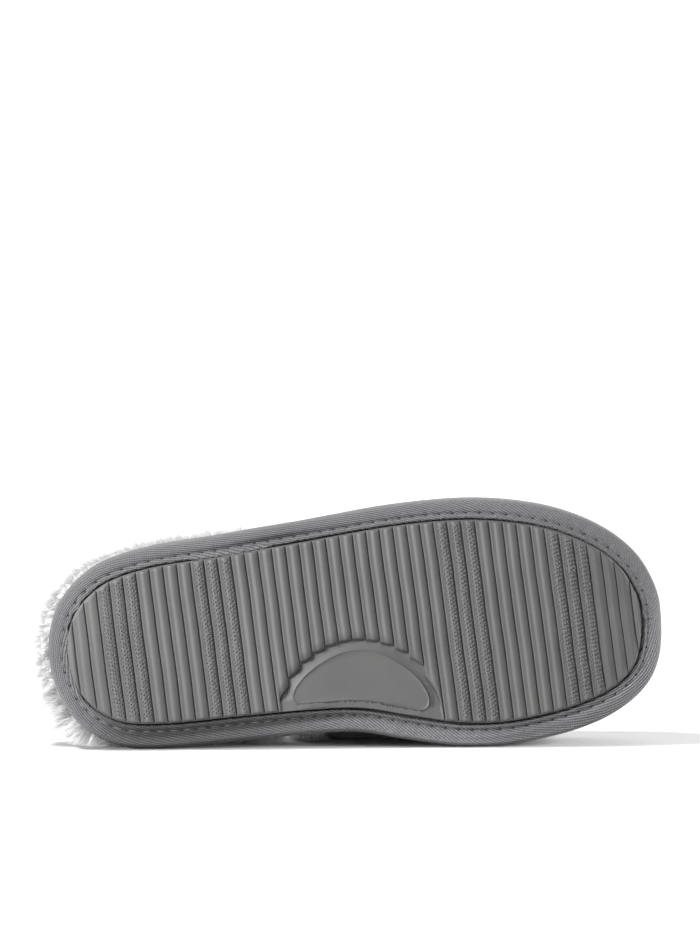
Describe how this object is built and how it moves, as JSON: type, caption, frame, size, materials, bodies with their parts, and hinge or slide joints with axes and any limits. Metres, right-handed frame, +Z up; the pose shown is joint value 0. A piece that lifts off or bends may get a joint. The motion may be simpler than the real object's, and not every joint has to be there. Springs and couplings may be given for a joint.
{
  "type": "open-back slipper",
  "caption": "Right open-back house slipper with ribbed rubber outsole, twill-wrapped platform, deep fur footbed and fur-lined vamp, lying on its inner side.",
  "frame": {"origin": "middle of the bounding box at its bottom, on the floor that the slipper lies on", "axes": "+X from heel to toe along the floor, +Y from the tread into the slipper, +Z up, towards the slipper's outer side"},
  "size_m": [0.2686, 0.084, 0.1058],
  "materials": {
    "outsole_rubber": "matt moulded grey rubber",
    "band_twill": "grey diagonal twill with one row of stitches",
    "footbed_fur": "long pale grey pile",
    "vamp_suede": "grey napped suede cloth with pale pile lining",
    "cuff_fur": "long pale grey pile"
  },
  "bodies": {
    "root": {"outsole": "outsole_rubber", "midsole": "band_twill", "insole": "footbed_fur", "upper": "vamp_suede", "cuff": "cuff_fur"}
  },
  "joints": []
}
